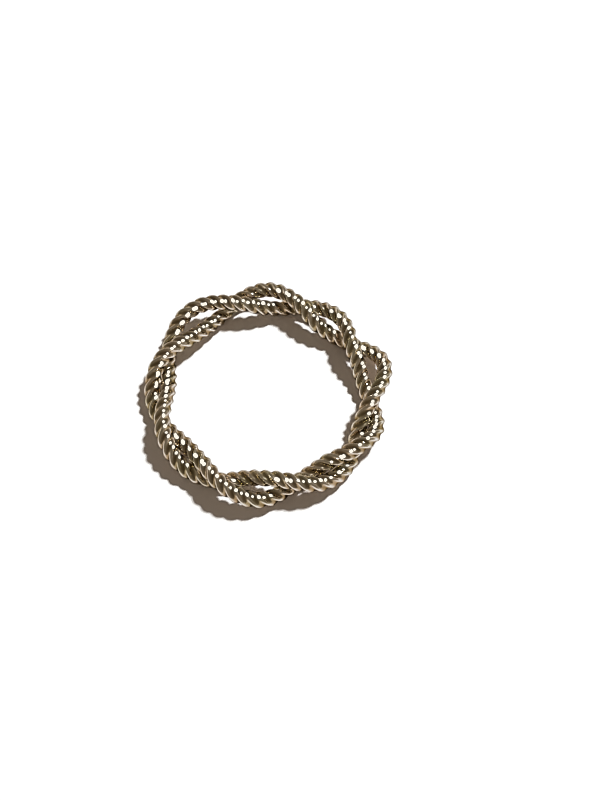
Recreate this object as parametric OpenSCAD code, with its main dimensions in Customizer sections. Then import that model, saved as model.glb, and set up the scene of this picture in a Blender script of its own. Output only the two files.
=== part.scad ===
// Rope twist ring: two round ropes of twisted wire, wound round each other into a hoop.
// The ring lies on its side, its finger hole along Z and its lowest wires on Z = 0.

/* [Ring] */
// Radius of the hoop, measured to the line midway between the two ropes
band_r = 10.17; // [9.5:0.01:12]
// How uneven the hand winding is: 1 as on the real ring, 0 perfectly even
unevenness = 1; // [0:0.1:1]

/* [Rope] */
// Diameter of one rope over the crests of its wires
rope_d = 1.55; // [1.2:0.01:1.7]
// Clearance between the ropes where they cross
rope_gap = 0.04; // [0.02:0.01:0.1]
// Wires twisted together in one rope
wires = 4; // [3:1:5]
// Turns of the wires in each rope, once round the hoop
rope_turns = 16; // [12:1:20]
// Depth of the soldered groove between two wires, as a part of the rope's radius
groove_depth = 0.24; // [0.1:0.01:0.3]

/* [Fineness] */
// Cross-sections along each turn of the wires
rings_per_turn = 12; // [8:1:12]
// Points on the outline of each wire
points_per_wire = 4; // [3:1:4]

/* [Hidden] */

// One row for each crossing, clockwise as seen from above. The columns are: the turn beyond an even
// spacing in degrees, the band's radius beyond band_r at the crossing and at the opening after it,
// the ropes' extra spread in that opening, and how far the inner and the outer rope stand above the
// band's middle there, the last five in millimetres.
TURN = 0;
AT_CROSSING = 1;
AT_OPENING = 2;
SPREAD = 3;
INNER_LIFT = 4;
OUTER_LIFT = 5;
crossings = [
    [ 3.5,  0.08,  0.04, 0.21,  0.07,  0.01],
    [ 2.5, -0.20, -0.49, 0.19, -0.04,  0.05],
    [ 2.9, -0.48,  0.26, 0.39, -0.21,  0.29],
    [ 4.0, -0.10,  0.10, 0.00, -0.10,  0.04],
    [-3.7,  0.06, -0.17, 0.01,  0.04, -0.05],
    [-4.5, -0.45, -0.15, 0.25, -0.02,  0.00],
    [-2.4,  0.04,  0.13, 0.00, -0.12, -0.07],
    [-0.1,  0.35,  0.32, 0.00,  0.00, -0.15],
    [-2.3,  0.41,  0.33, 0.32, -0.08,  0.42],
];
// Angle of the first crossing, clockwise from +Y
first_crossing = -31;

count = len(crossings);
rope_r = rope_d / 2;
// Least distance from the band's middle to the centre of a rope
least_spread = rope_r + rope_gap / 2;
// The braid goes twice round before it closes, once as each rope
turns_in_all = 2 * rope_turns;
steps = turns_in_all * rings_per_turn;
// The joint, in half turns of the braid after the first crossing
joint_at = 0.5;

wire_r = sin(180 / wires) / (1 + sin(180 / wires));
wire_c = 1 - wire_r;
section_n = wires * points_per_wire;

turn_offset = [for (row = crossings) unevenness * row[TURN]];
radius_offset = [for (row = crossings, column = [AT_CROSSING, AT_OPENING]) unevenness * row[column]];
extra_spread = [for (row = crossings) unevenness * row[SPREAD]];
// The rope is the inner one in every second opening that it passes, and it isn't lifted at a crossing
lift = [for (m = [0 : 2 * count - 1], column = [undef, m % 2 == 0 ? INNER_LIFT : OUTER_LIFT])
    is_undef(column) ? 0 : unevenness * crossings[m % count][column]];

// A value between the two neighbours of x in a closed row of values, eased with half a cosine wave
function eased(values, x) =
    let (n = len(values), i = floor(x), share = (1 - cos(180 * (x - i))) / 2)
    values[(i + n) % n] * (1 - share) + values[(i + 1 + n) % n] * share;

// Centre of the rope after u half turns of the braid: on top at whole even u, below at odd u
function rope_centre(u) =
    let (
        along = first_crossing + 360 / count * u + eased(turn_offset, u),
        winding = 90 + 180 * u,
        spread = least_spread + eased(extra_spread, u - 0.5),
        r = band_r + eased(radius_offset, 2 * u) + spread * cos(winding),
        z = least_spread * sin(winding) + eased(lift, 2 * u)
    )
    [r * sin(along), r * cos(along), z];

u_of = [for (i = [0 : steps]) joint_at + 2 * count * i / steps];
centres = [for (u = u_of) rope_centre(u)];
lengths = [for (i = 0, s = 0; i <= steps; s = i < steps ? s + norm(centres[i + 1] - centres[i]) : s, i = i + 1) s];

// Reach of the outline from the rope's centre, as a part of its radius, at an angle off a wire's crest
function reach(a) =
    max(wire_c * cos(a) + sqrt(max(0, pow(wire_r, 2) - pow(wire_c * sin(a), 2))), 1 - groove_depth);

off_crest = [for (j = [0 : section_n - 1]) min(j % points_per_wire, points_per_wire - j % points_per_wire)];
outline = [for (k = off_crest) rope_r * reach(360 / section_n * k)];

function unit(v) = v / norm(v);

// Cross-section i: the outline, square to the rope and turned by the twist of the wires so far
function cross_section(i) =
    let (
        forward = unit(centres[(i + 1) % steps] - centres[(i + steps - 1) % steps]),
        side = unit(cross([0, 0, 1], forward)),
        up = cross(forward, side),
        twist = 360 * turns_in_all * lengths[i] / lengths[steps]
    )
    [for (j = [0 : section_n - 1])
        let (a = 360 * j / section_n - twist)
        centres[i] + outline[j] * (cos(a) * up + sin(a) * side)];

sections = [for (i = [0 : steps]) cross_section(i)];

// The frame's origin: the middle of the ring's box, at its foot
xs = [for (section = sections, p = section) p[0]];
ys = [for (section = sections, p = section) p[1]];
zs = [for (section = sections, p = section) p[2]];
origin = [(min(xs) + max(xs)) / 2, (min(ys) + max(ys)) / 2, min(zs)];

// One rope: the skin through cross-sections first to last, closed by a fan at each end
module rope(first, last) {
    rings = last - first + 1;
    skin = [for (i = [first : last], p = sections[i]) p - origin];
    ends = [centres[first] - origin, centres[last] - origin];
    tail = rings * section_n;
    around = [for (i = [0 : rings - 2], j = [0 : section_n - 1])
        let (k = (j + 1) % section_n, a = i * section_n, b = a + section_n)
        each [[a + j, a + k, b + k], [a + j, b + k, b + j]]];
    start_cap = [for (j = [0 : section_n - 1]) [tail, (j + 1) % section_n, j]];
    end_cap = [for (j = [0 : section_n - 1])
        [tail + 1, tail - section_n + j, tail - section_n + (j + 1) % section_n]];
    polyhedron(points = concat(skin, ends), faces = concat(around, start_cap, end_cap));
}

module rope_a() {
    color("silver") rope(0, steps / 2);
}

module rope_b() {
    color("lightgray") rope(steps / 2, steps);
}

rope_a();
rope_b();
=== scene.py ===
# %% [markdown]
# # A rope twist ring
# The ring is one endless rope of twisted silver wire. It goes round the finger twice, and on its
# second way round it winds about its first, so the hoop looks like two ropes in a braid. This
# lesson sweeps that rope along its path with numpy, gives it a worn silver finish, and lights it
# as it lay on white paper under one small lamp.

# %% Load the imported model
import bpy
import numpy as np
from mathutils import Matrix, Vector


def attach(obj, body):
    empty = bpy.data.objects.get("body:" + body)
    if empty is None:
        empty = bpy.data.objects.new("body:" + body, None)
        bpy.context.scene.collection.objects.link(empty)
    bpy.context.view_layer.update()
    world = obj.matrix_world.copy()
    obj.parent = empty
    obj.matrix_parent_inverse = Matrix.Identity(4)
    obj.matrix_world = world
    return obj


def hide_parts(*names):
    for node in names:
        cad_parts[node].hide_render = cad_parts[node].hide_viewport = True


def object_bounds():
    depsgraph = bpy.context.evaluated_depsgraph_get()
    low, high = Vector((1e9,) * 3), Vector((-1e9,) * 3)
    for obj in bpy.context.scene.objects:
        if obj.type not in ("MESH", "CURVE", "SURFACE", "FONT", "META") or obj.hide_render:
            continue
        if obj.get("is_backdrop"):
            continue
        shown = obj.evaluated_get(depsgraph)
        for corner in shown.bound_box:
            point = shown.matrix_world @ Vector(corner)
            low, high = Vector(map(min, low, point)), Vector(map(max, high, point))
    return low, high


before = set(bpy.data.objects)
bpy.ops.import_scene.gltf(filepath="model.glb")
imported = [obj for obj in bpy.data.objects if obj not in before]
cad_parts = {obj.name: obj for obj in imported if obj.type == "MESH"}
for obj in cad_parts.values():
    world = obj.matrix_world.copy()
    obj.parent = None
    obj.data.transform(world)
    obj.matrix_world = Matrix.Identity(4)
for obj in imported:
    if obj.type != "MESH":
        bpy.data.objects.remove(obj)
cad_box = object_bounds()
MM = 0.001
cad_size = (np.array(cad_box[1]) - np.array(cad_box[0])) / MM
print("solid model:", sorted(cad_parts), "box in mm:", cad_size.round(2).tolist())

# %% [markdown]
# ## The path of the rope
# A braid of two ropes is drawn with one number, u, which counts its half turns. As u grows by one,
# the rope moves on to the next crossing, and changes between the top of the band and its underside.
# The band has an odd number of crossings, so after one way round the rope is where the other one
# started, and it closes only after the second. A helix on a torus would give a regular braid. The
# real one was wound by hand, so each crossing has its own small offsets, in a short table.

# %% Sizes of the band, in millimetres and degrees
band_r = 10.17
rope_d = 1.55
rope_gap = 0.04
first_crossing = -31
rope_r = rope_d / 2
least_spread = rope_r + rope_gap / 2
print("the rope's centre stays %.3f mm or more from the band's middle" % least_spread)

# %% Table of the crossings
# A row for each crossing, clockwise from above. The columns are the turn beyond an even spacing, in
# degrees, and then in millimetres the band's radius beyond band_r at the crossing and at the opening
# after it, the ropes' extra spread in that opening, and how far the inner and the outer rope stand
# above the band's middle there.
crossings = np.array([
    [3.5, 0.08, 0.04, 0.21, 0.07, 0.01],
    [2.5, -0.20, -0.49, 0.19, -0.04, 0.05],
    [2.9, -0.48, 0.26, 0.39, -0.21, 0.29],
    [4.0, -0.10, 0.10, 0.00, -0.10, 0.04],
    [-3.7, 0.06, -0.17, 0.01, 0.04, -0.05],
    [-4.5, -0.45, -0.15, 0.25, -0.02, 0.00],
    [-2.4, 0.04, 0.13, 0.00, -0.12, -0.07],
    [-0.1, 0.35, 0.32, 0.00, 0.00, -0.15],
    [-2.3, 0.41, 0.33, 0.32, -0.08, 0.42],
])
count = len(crossings)
turn_offset = crossings[:, 0]
radius_offset = crossings[:, 1:3].ravel()
extra_spread = crossings[:, 3]
print("the braid has", count, "crossings and spreads by up to", extra_spread.max(), "mm more")

# %% Lift in the openings
# The rope is the inner one in every second opening that it passes, and it isn't lifted at a
# crossing, so the row of lifts has a zero before each opening's.
passed = np.arange(2 * count)
lift = np.zeros(4 * count)
lift[1::2] = crossings[passed % count, 4 + passed % 2]
print("the rope is lifted by %.2f to %.2f mm" % (lift.min(), lift.max()))

# %% Centre of the rope
def eased(values, x):
    """The value at x in a closed row of values, eased from each to the next by half a cosine wave."""
    i = np.floor(x).astype(int)
    share = (1 - np.cos(np.pi * (x - i))) / 2
    return values[i % len(values)] * (1 - share) + values[(i + 1) % len(values)] * share


def rope_centre(u):
    """Points after u half turns. Each half turn goes an equal share of the circle along the hoop,
    plus the offset, and 180 degrees round the band's middle, from the top at u = 0. The distance
    from the hoop's axis is the band's plus the spread times the cosine of that winding, and the
    height is the least spread times its sine, plus the lift."""
    along = np.radians(first_crossing + 360 / count * u + eased(turn_offset, u))
    winding = np.pi / 2 + np.pi * u
    spread = least_spread + eased(extra_spread, u - 0.5)
    r = band_r + eased(radius_offset, 2 * u) + spread * np.cos(winding)
    z = least_spread * np.sin(winding) + eased(lift, 2 * u)
    return np.stack([r * np.sin(along), r * np.cos(along), z], axis=-1)


at_first = rope_centre(np.array([0.0]))[0]
print("over the first crossing the rope's centre is at", at_first.round(2).tolist(), "mm")

# %% Rings along the rope
rope_turns = 16
rings_per_turn = 72
joint_at = 0.5
rings = 2 * rope_turns * rings_per_turn
u = joint_at + 2 * count * np.arange(rings) / rings
centres = rope_centre(u)
steps = np.linalg.norm(np.roll(centres, -1, axis=0) - centres, axis=1)
rope_length = steps.sum()
so_far = np.cumsum(steps) - steps
wire_turn = rope_length / (2 * rope_turns)
print("the endless rope is %.1f mm long, a turn of its wires %.2f mm" % (rope_length, wire_turn))

# %% [markdown]
# ## The wires
# Cut across, the rope shows four wires that touch each other. Four separate helical tubes would
# give that too, but on the real ring the grooves between them are filled: the metal has flowed
# there, and a second, smaller glint shows in each groove. A groove with a sharp bottom can't
# mirror the lamp. So the cut is one outline, a circle with four soft waves, as high and as deep as
# the wires and grooves of the solid model. The outline turns as it goes along.

# %% Outline of the rope's cut
wires = 4
groove_depth = 0.24
crest_sharpness = 0.07
points_per_wire = 20
around = wires * points_per_wire
phi = 2 * np.pi * np.arange(around) / around


def reach(angle):
    """Distance from the rope's centre to its skin, where 1 is a crest: a cosine wave sinks to the
    groove's floor between two wires, and one of half its length narrows the crests a little."""
    wave = (1 - np.cos(wires * angle)) / 2
    flank = (1 - np.cos(2 * wires * angle)) / 2
    return 1 - groove_depth * (wave + crest_sharpness * flank)


outline = reach(phi)
depth = np.clip((1 - outline) / groove_depth, 0, 1)
print("outline of", around, "points, down to %.2f of the rope's radius" % outline.min())

# %% [markdown]
# ## Signs of the hand
# Drawn wire that was twisted and soldered by hand isn't perfectly even. Random numbers at each
# vertex would look like sandpaper, so the unevenness is a sum of smooth waves. Each has a whole
# number of waves along the loop and round the cut, so that it closes on itself.

# %% Smooth unevenness
def ripples(lengths, turns, number, seed):
    """A field over rings and points with about unit size: cosine waves of random phase, each with
    a whole number of waves along the whole rope, drawn from lengths, and round it, from turns."""
    draw = np.random.default_rng(seed)
    along = draw.integers(lengths[0], lengths[1], number)
    round_it = draw.integers(turns[0], turns[1], number)
    start = draw.uniform(0, 2 * np.pi, number)
    field = np.zeros((rings, around))
    for m, n, p in zip(along, round_it, start):
        field += np.cos(2 * np.pi * m * so_far[:, None] / rope_length + n * phi[None, :] + p)
    return field * np.sqrt(2 / number)


# %% Swellings and dents, as parts of the rope's radius
swelling = 0.003 * ripples(lengths=(8, 60), turns=(-3, 4), number=24, seed=3)
dents = 0.002 * ripples(lengths=(120, 420), turns=(-14, 15), number=60, seed=7)
relief = swelling + dents
print("the skin swells and sinks by up to %.3f mm" % (rope_r * np.abs(relief).max()))

# %% [markdown]
# ## Sweeping the rope
# At each ring the cut stands square to the path. Its first direction points up as nearly as it
# can, its second to the side, and the wires turn back from them by the twist so far. A curve with
# a bevel would sweep a cut too, but it doesn't say how deep each point lies in its groove, which
# the finish needs. Here the whole closed loop is one grid of points, and the normals come from
# that grid too, so the skin stays smooth where the rope's two halves meet.

# %% Directions across the rope
def unit(v):
    """Each vector divided by its own length."""
    return v / np.linalg.norm(v, axis=-1, keepdims=True)


forward = unit(np.roll(centres, -1, axis=0) - np.roll(centres, 1, axis=0))
side = unit(np.cross([0, 0, 1], forward))
up = np.cross(forward, side)
steepest = np.degrees(np.arcsin(np.abs(forward[:, 2]).max()))
print("the rope rises by up to %.0f degrees" % steepest)

# %% Grid of points
twist = 2 * np.pi * 2 * rope_turns * so_far / rope_length
angle = phi[None, :] - twist[:, None]
out = np.cos(angle)[..., None] * up[:, None, :] + np.sin(angle)[..., None] * side[:, None, :]
radius = rope_r * (outline[None, :] + relief)
grid = centres[:, None, :] + radius[..., None] * out
print("grid of %d rings with %d points each" % grid.shape[:2])

# %% The ring's middle at the origin, and its lowest point on the paper
low = grid.min(axis=(0, 1))
high = grid.max(axis=(0, 1))
origin = np.array([(low[0] + high[0]) / 2, (low[1] + high[1]) / 2, low[2]])
grid -= origin
centres -= origin
print("swept ring in mm: %.2f x %.2f x %.2f" % tuple(high - low))

# %% Normals of the grid
ahead = np.roll(grid, -1, axis=0) - np.roll(grid, 1, axis=0)
across = np.roll(grid, -1, axis=1) - np.roll(grid, 1, axis=1)
normals = unit(np.cross(ahead, across))
print("all normals point outwards:", bool(((normals * out).sum(axis=-1) > 0).all()))

# %% [markdown]
# ## From grid to mesh
# One endless piece would need no ends. But the solid model has a node for each half of the loop, so
# each half is a piece here too, closed at both ends by a fan. The piece carries two things for its
# finish. One is a UV map in millimetres that follows the wires, along the rope and round its
# outside, and the other is the depth of the groove at each vertex.

# %% Faces of one half
def half_faces(rows):
    """Quads from each ring of points to the next, and a fan on each end. The middle points of the
    two fans come after the points of all rings."""
    here = np.arange(around)
    beside = (here + 1) % around
    row = (np.arange(rows - 1) * around)[:, None]
    next_row = row + around
    quads = np.stack([row + here, next_row + here, next_row + beside, row + beside], axis=-1)
    middle = np.full(around, rows * around)
    last_row = (rows - 1) * around
    start_fan = np.stack([middle, here, beside], axis=-1)
    end_fan = np.stack([middle + 1, last_row + beside, last_row + here], axis=-1)
    return quads.reshape(-1, 4), np.concatenate([start_fan, end_fan])


print("from one ring of points to the next there are", len(half_faces(2)[0]), "quads")

# %% Bare mesh of one half
def bare_mesh(name, ring_numbers, quads, fans):
    """A mesh of the rings' points and of the rope's centre at its two ends, with these faces."""
    skin = grid[ring_numbers % rings].reshape(-1, 3)
    ends = centres[ring_numbers[[0, -1]] % rings]
    points = np.concatenate([skin, ends]) * MM
    mesh = bpy.data.meshes.new(name)
    mesh.from_pydata(points.tolist(), [], quads.tolist() + fans.tolist())
    return mesh


# %% Smooth skin and flat ends
def shade(mesh, ring_numbers, quads):
    """Gives each corner of a quad the grid's normal there, and each fan the rope's own direction,
    back at its start and forward at its end."""
    mesh.polygons.foreach_set("use_smooth", np.ones(len(mesh.polygons), dtype=bool))
    corner_normals = normals[ring_numbers % rings].reshape(-1, 3)[quads.ravel()]
    directions = forward[ring_numbers[[0, -1]] % rings] * [[-1], [1]]
    fan_normals = np.repeat(directions, 3 * around, axis=0)
    mesh.normals_split_custom_set(np.concatenate([corner_normals, fan_normals]).tolist())


# %% Map of the wires
def wire_map(along):
    """UV of each quad's corners: the millimetres along the rope, and those round its outside from
    the first wire's crest. The hidden fans on the ends have none."""
    rows = len(along)
    turn = rope_d * np.pi * np.arange(around + 1) / around
    u0 = np.repeat(along[:-1], around)
    u1 = np.repeat(along[1:], around)
    v0 = np.tile(turn[:-1], rows - 1)
    v1 = np.tile(turn[1:], rows - 1)
    quad_uv = np.stack([u0, v0, u1, v0, u1, v1, u0, v1], axis=-1).ravel()
    fan_corners = 2 * 3 * around
    return np.concatenate([quad_uv, np.zeros(2 * fan_corners)])


# %% Both halves
def half_rope(name, first, last):
    """A piece from ring first to ring last, with its normals, its map and its groove depths, where
    the middles of the hidden fans count as a groove's floor, 1."""
    ring_numbers = np.arange(first, last + 1)
    rows = len(ring_numbers)
    quads, fans = half_faces(rows)
    mesh = bare_mesh(name, ring_numbers, quads, fans)
    shade(mesh, ring_numbers, quads)
    uv = wire_map(np.append(so_far, rope_length)[ring_numbers])
    mesh.uv_layers.new(name="wire_mm").data.foreach_set("uv", uv)
    groove = mesh.attributes.new("groove", "FLOAT", "POINT")
    groove.data.foreach_set("value", np.concatenate([np.tile(depth, rows), [1, 1]]))
    mesh.update()
    piece = bpy.data.objects.new(name, mesh)
    bpy.context.collection.objects.link(piece)
    print(name, "has", 2 * len(quads) + len(fans), "triangles")
    return piece


ropes = {
    "rope_a": half_rope("twisted_rope_a", 0, rings // 2),
    "rope_b": half_rope("twisted_rope_b", rings // 2, rings),
}

# %% [markdown]
# ## Working with nodes
# The metal, the sky and the picture are all made of nodes. Set by hand, each node takes a line for
# itself, one for each value and one for each link. A helper that takes them all at once keeps a
# finish as short as a recipe.

# %% Nodes, their values and links
def feed(socket, value):
    """Links the output of another node to the socket, or sets the socket to a number or colour."""
    if isinstance(value, bpy.types.NodeSocket):
        socket.id_data.links.new(value, socket)
    else:
        socket.default_value = value


def add(tree, kind, inputs, **settings):
    """A new node in the tree, with its settings, and with its inputs fed by name or by number."""
    node = tree.nodes.new(kind)
    for name, value in settings.items():
        setattr(node, name, value)
    for name, value in inputs.items():
        feed(node.inputs[name], value)
    return node


# %% Ramps of colour
def ramp(tree, factor, stops):
    """The colour of a ramp where the factor is. Each stop is a place from 0 to 1 and a colour."""
    node = add(tree, "ShaderNodeValToRGB", {"Fac": factor})
    elements = node.color_ramp.elements
    while len(elements) < len(stops):
        elements.new(1.0)
    for element, (at, colour) in zip(elements, stops):
        element.position = at
        element.color = (*colour, 1)
    return node.outputs["Color"]


# %% [markdown]
# ## Worn silver
# The crests of the wires are rubbed bright by wear. The grooves keep a brown tarnish, and painted
# shade makes them darkest at the bottom. A picture of the metal could show this, but would have to
# be painted for each turn of the wires. Here the groove depth that each vertex carries runs through
# a colour ramp instead. A fine noise breaks up its edges, and a wide noise lays browner and more
# olive patches over it.

# %% Silver that darkens towards its rims
# Tarnished metal mirrors less where it is seen at a slant. Specular Tint is the part that is left.
left_at_rims = (0.15, 0.14, 0.13, 1)
silver = bpy.data.materials.new("worn_silver")
silver.use_nodes = True
metal = silver.node_tree
shader = metal.nodes["Principled BSDF"]
shader.inputs["Metallic"].default_value = 1.0
shader.inputs["Specular Tint"].default_value = left_at_rims
print("the metal keeps about %.0f %% of its brightness at its rims" % (100 * left_at_rims[1]))

# %% Tarnish and painted shade in the grooves
fine_per_metre = 900.0
worn_bright = (0.76, 0.69, 0.58)
brown = (0.40, 0.325, 0.21)
dark_brown = (0.265, 0.20, 0.11)
place = metal.nodes.new("ShaderNodeTexCoord").outputs["Object"]
fine_noise = add(metal, "ShaderNodeTexNoise", {
    "Vector": place, "Scale": fine_per_metre, "Detail": 3.0,
})
groove_depths = add(metal, "ShaderNodeAttribute", {}, attribute_name="groove")
both = {0: groove_depths.outputs["Fac"], 1: fine_noise.outputs["Fac"]}
groove_tarnish_and_shade = add(metal, "ShaderNodeMath", both, operation="MULTIPLY")
# Brown tarnish in the grooves, with painted shade that makes their bottoms darkest
tarnish_and_shade_stops = [(0.03, worn_bright), (0.33, brown), (0.60, dark_brown)]
tarnish_and_shade = ramp(metal, groove_tarnish_and_shade.outputs[0], tarnish_and_shade_stops)
print("tarnish from", worn_bright, "on the crests to", dark_brown, "in the grooves")

# %% Patches of browner and more olive tarnish
wide_per_metre = 420.0
browner = (1.0, 0.94, 0.88)
unchanged = (1.0, 1.0, 1.0)
more_olive = (0.89, 0.92, 0.81)
wide_noise = add(metal, "ShaderNodeTexNoise", {
    "Vector": place, "Scale": wide_per_metre, "Detail": 2.0,
})
patch_stops = [(0.34, browner), (0.48, unchanged), (0.64, more_olive)]
patches = ramp(metal, wide_noise.outputs["Fac"], patch_stops)
layers = {"Fac": 1.0, "Color1": tarnish_and_shade, "Color2": patches}
patched = add(metal, "ShaderNodeMixRGB", layers, blend_type="MULTIPLY")
feed(shader.inputs["Base Color"], patched.outputs["Color"])
print("the patches are about %.1f mm wide" % (1 / wide_per_metre / MM))

# %% [markdown]
# ## Lines and lumps
# Wire is drawn through a plate, which leaves fine lines along it. They are a noise on the UV map,
# stretched along the wires, and they change both the roughness and the bump. Solder and wear leave
# low lumps about a third of a millimetre apart, which push each glint a little out of its row.
# They are too shallow to show at the edge of a wire, so bump is enough and the mesh stays light.

# %% Lines from drawing
waves_per_mm = (0.8, 14, 1)
wire_uv = add(metal, "ShaderNodeUVMap", {}, uv_map="wire_mm").outputs["UV"]
stretch = add(metal, "ShaderNodeMapping", {"Vector": wire_uv, "Scale": waves_per_mm})
draw_lines = add(metal, "ShaderNodeTexNoise", {
    "Vector": stretch.outputs["Vector"], "Scale": 1.0, "Detail": 4.0,
}).outputs["Fac"]
print("the lines are about %.2f mm apart" % (1 / waves_per_mm[1]))

# %% Roughness, from the noise's usual range
smoothest = 0.13
roughest = 0.18
rough = add(metal, "ShaderNodeMapRange", {
    "Value": draw_lines, "From Min": 0.2, "From Max": 0.8, "To Min": smoothest, "To Max": roughest,
})
feed(shader.inputs["Roughness"], rough.outputs["Result"])
print("the metal's roughness goes from", smoothest, "to", roughest)

# %% Bump
relief_height = 0.004 * MM
lumps_per_metre = 3500.0
line_bump = add(metal, "ShaderNodeBump", {
    "Height": draw_lines, "Strength": 0.5, "Distance": relief_height,
})
lumps = add(metal, "ShaderNodeTexNoise", {
    "Vector": place, "Scale": lumps_per_metre, "Detail": 3.0,
})
lump_bump = add(metal, "ShaderNodeBump", {
    "Height": lumps.outputs["Fac"], "Strength": 0.6, "Distance": relief_height,
    "Normal": line_bump.outputs["Normal"],
})
feed(shader.inputs["Normal"], lump_bump.outputs["Normal"])
print("the lumps are about %.2f mm apart" % (1 / lumps_per_metre / MM))

# %% Finish on both pieces
for node_name, piece in ropes.items():
    piece.data.materials.append(silver)
    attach(piece, "root")
    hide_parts(node_name)
    print(piece.name, "stands for", node_name, "in a finish of", len(metal.nodes), "nodes")

# %% [markdown]
# ## Paper and light
# The ring lies on pale paper, which the lamp makes white; only its shadows show that it is a
# little pink. One small lamp, high up behind the ring and to the right, gives the row of glints
# along each rope and a shadow with clear edges. A small area lamp would too, but its light would
# fade across the paper. A sun lamp's is even everywhere, and its angle is the lamp's apparent
# size. The sky is what the metal mirrors: dim overhead, as a room is above a bright lamp, and paler
# at the horizon. A low camera would see that sky behind the paper, so what the camera itself sees
# there is plain pale grey.

# %% Floor, in metres
floor_half = 20.0
floor_mesh = bpy.data.meshes.new("paper")
corners = floor_half * np.array([[-1, -1, 0], [1, -1, 0], [1, 1, 0], [-1, 1, 0]])
floor_mesh.from_pydata(corners.tolist(), [], [[0, 1, 2, 3]])
floor = bpy.data.objects.new("paper", floor_mesh)
bpy.context.collection.objects.link(floor)
floor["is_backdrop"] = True
print("the paper is %.0f m wide" % (2 * floor_half))

# %% White paper
pale_pink = (0.80, 0.745, 0.74, 1)
paper = bpy.data.materials.new("white_paper")
paper.use_nodes = True
paper_shader = paper.node_tree.nodes["Principled BSDF"]
paper_shader.inputs["Base Color"].default_value = pale_pink
paper_shader.inputs["Roughness"].default_value = 0.8
floor_mesh.materials.append(paper)
print("its colour is", pale_pink[:3])

# %% Lamp
lamp_from = Vector((0.51, 0.54, 1.0))
lamp = bpy.data.lights.new("lamp", "SUN")
lamp.energy = 5.1
lamp.angle = np.radians(5)
lamp.color = (1.0, 0.985, 0.96)
lamp_object = bpy.data.objects.new("lamp", lamp)
lamp_object.rotation_euler = lamp_from.to_track_quat("Z", "Y").to_euler()
bpy.context.collection.objects.link(lamp_object)
lamp_height = 90 - np.degrees(lamp_from.angle(Vector((0, 0, 1))))
print("the lamp stands %.0f degrees above the paper" % lamp_height)

# %% Sky
horizon = (0.66, 0.62, 0.56)
room = (0.26, 0.22, 0.178)
overhead = (0.156, 0.13, 0.093)
sky = bpy.data.worlds.new("sky")
bpy.context.scene.world = sky
sky.use_nodes = True
air = sky.node_tree
direction = add(air, "ShaderNodeTexCoord", {}).outputs["Generated"]
height = add(air, "ShaderNodeSeparateXYZ", {0: direction}).outputs["Z"]
by_height = ramp(air, height, [(0.0, horizon), (0.25, room), (1.0, overhead)])
print("overhead the sky has %.0f %% of its light at the horizon" % (100 * overhead[1] / horizon[1]))

# %% What the camera sees behind the paper
pale_grey = (0.86, 0.86, 0.85, 1)
seen_by_camera = add(air, "ShaderNodeLightPath", {}).outputs["Is Camera Ray"]
backdrop = add(air, "ShaderNodeMixRGB", {
    "Fac": seen_by_camera, "Color1": by_height, "Color2": pale_grey,
})
feed(air.nodes["Background"].inputs["Color"], backdrop.outputs["Color"])
print("behind the paper it is", pale_grey[:3])

# %% [markdown]
# ## The camera
# The photograph was taken from above and a little in front, with a phone held slightly askew. A
# camera could be pushed about until the picture fits. This one is set by real sizes instead: how
# high and how far it is from the ring, and where the band's centre falls in the picture.

# %% Directions of the camera
camera_height = np.radians(66.47)
camera_roll = np.radians(2.978)
back = np.array([0, -np.cos(camera_height), np.sin(camera_height)])
level = np.array([1.0, 0, 0])
rise = np.cross(back, level)
right = np.cos(camera_roll) * level + np.sin(camera_roll) * rise
top = np.cos(camera_roll) * rise - np.sin(camera_roll) * level
print("the ring sees the camera along", back.round(3).tolist())

# %% Place of the camera, in millimetres
# A slope is a distance across the picture divided by the distance to the camera
camera_distance = 82.44
picture = np.array([600, 800])
band_in_picture = np.array([268.6, 390.35])
sensor = 24.0
lens = 25.5
pixels_per_slope = lens / sensor * picture[1]
offset = (band_in_picture - picture / 2) * [1, -1] / pixels_per_slope * camera_distance
eye = back * camera_distance - right * offset[0] - top * offset[1] - origin
print("the camera is at", eye.round(1).tolist(), "mm")

# %% Camera, and colours with no film look
pose = np.eye(4)
pose[:3, :3] = np.stack([right, top, back], axis=1)
pose[:3, 3] = eye * MM
camera = bpy.data.objects.new("camera", bpy.data.cameras.new("camera"))
camera.matrix_world = Matrix(pose.tolist())
camera.data.sensor_fit = "VERTICAL"
camera.data.sensor_height = sensor
camera.data.lens = lens
camera.data.clip_start = 1 * MM
bpy.context.collection.objects.link(camera)
bpy.context.scene.camera = camera
bpy.context.scene.view_settings.view_transform = "Standard"
view_angle = 2 * np.degrees(np.arctan(sensor / 2 / lens))
print("the camera sees %.0f degrees from top to bottom" % view_angle)

# %% [markdown]
# ## What a phone does to its picture
# A phone's picture isn't only light and lens. The rest of this lesson adds three of its traits, in
# the steps that follow a render. They could be had from a photo editor afterwards, but as nodes
# they are part of the scene. The first is that bright spots lose their colour: light that was
# thrown from wire to wire is orange, yet the phone shows its sparks nearly white.

# %% Steps of work on the picture
bpy.context.scene.use_nodes = True
darkroom = bpy.context.scene.node_tree
darkroom.nodes.clear()


def step(kind, *inputs, **settings):
    """The image that a new step makes of its inputs, which are images, numbers or colours."""
    return add(darkroom, "CompositorNode" + kind, dict(enumerate(inputs)), **settings).outputs[0]


def blurred(image, pixels):
    """The image with the light of each pixel spread over its neighbours in a round bell curve."""
    inputs = {"Image": image, "Size": (pixels, pixels), "Separable": False}
    return add(darkroom, "CompositorNodeBlur", inputs, filter_type="GAUSS").outputs[0]


# %% Paling of bright spots
pales_from = 0.25
pale_at = 0.75
nearly_white = (1.0, 0.98, 0.94, 1)
rendered = step("RLayers")
grey = step("RGBToBW", rendered)
above = step("Math", grey, pales_from, operation="SUBTRACT")
paling = step("Math", above, pale_at - pales_from, operation="DIVIDE", use_clamp=True)
pale = step("MixRGB", 1.0, grey, nearly_white, blend_type="MULTIPLY")
paled = step("MixRGB", paling, rendered, pale)
print("colours pale from a brightness of", pales_from, "and are nearly white at", pale_at)

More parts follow.
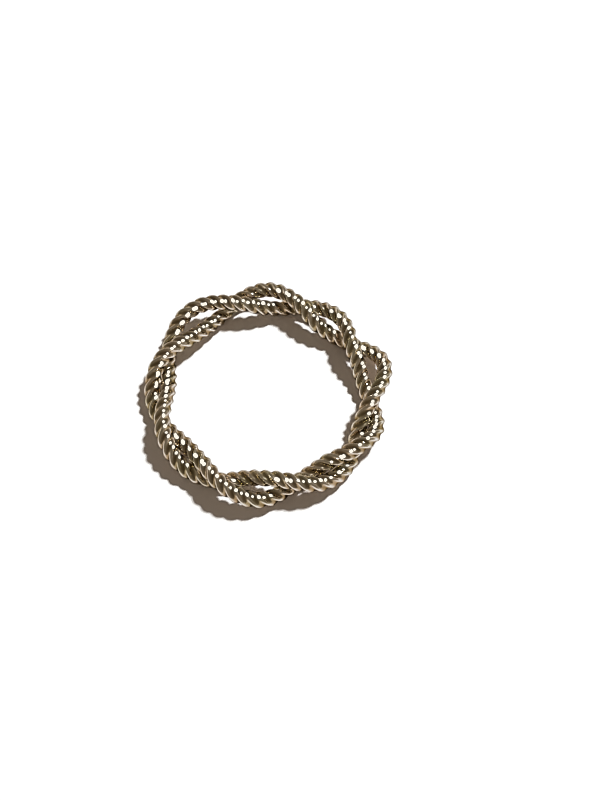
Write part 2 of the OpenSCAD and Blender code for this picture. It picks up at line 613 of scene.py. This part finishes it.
# %% [markdown]
# ## How a phone sharpens its picture
# A phone makes small details crisper than its lens shows them. It compares each pixel with the
# blurred picture around it: a darker pixel is made darker still, and a lighter one lighter. That
# puts dark lines into the grooves and along the edges of the wires. Dirt or roughness on the metal
# can't give those lines, because they follow the picture's edges and not the wires.

# %% Sharpening
darkest = 0.01
lightest = 1.2
compared_pixels = 3
sharpening = 0.5
not_too_dark = step("Math", grey, darkest, operation="MAXIMUM")
tone = step("Math", not_too_dark, lightest, operation="MINIMUM")
contrast = step("Math", tone, blurred(tone, compared_pixels), operation="DIVIDE")
softened = step("Math", contrast, sharpening, operation="POWER")
sharp = step("MixRGB", 1.0, paled, softened, blend_type="MULTIPLY")
print("each pixel is compared with a blur of", compared_pixels, "pixels")

# %% [markdown]
# ## How a camera shows a glint
# The lamp's image on a wire is many times brighter than white paper and smaller than a pixel. A
# lens spreads such light over the pixels around it and fills them up, so in a photograph each glint
# is a round cream dot. A glow over the whole picture would veil the ring. Here only what is
# brighter than the paper is taken, cut off at a cap so that all dots come out about equal, and
# blurred over a few pixels. Where that blur is strong, it puts cream over the picture.

# %% Dots of the glints
brighter_than = 1.6
cap = 3.0
gain = 3.0
dot_pixels = 2
cream = (1.0, 0.955, 0.84, 1)
excess = step("Math", grey, brighter_than, operation="SUBTRACT")
glints = step("Math", excess, 0.0, operation="MAXIMUM")
capped = step("Math", glints, cap, operation="MINIMUM")
strong = step("Math", capped, gain, operation="MULTIPLY")
share = step("Math", blurred(strong, dot_pixels), 1.0, operation="MINIMUM")
dotted = step("MixRGB", share, sharp, cream)
add(darkroom, "CompositorNodeComposite", {"Image": dotted})
print("the picture is worked on in", len(darkroom.nodes), "steps")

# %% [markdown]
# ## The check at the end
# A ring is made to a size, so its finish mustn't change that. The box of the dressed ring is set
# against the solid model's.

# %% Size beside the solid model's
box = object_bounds()
beyond = (np.array(box) - np.array(cad_box)) / MM
print("visual box beyond the solid model's, in mm:", beyond.round(3).tolist())
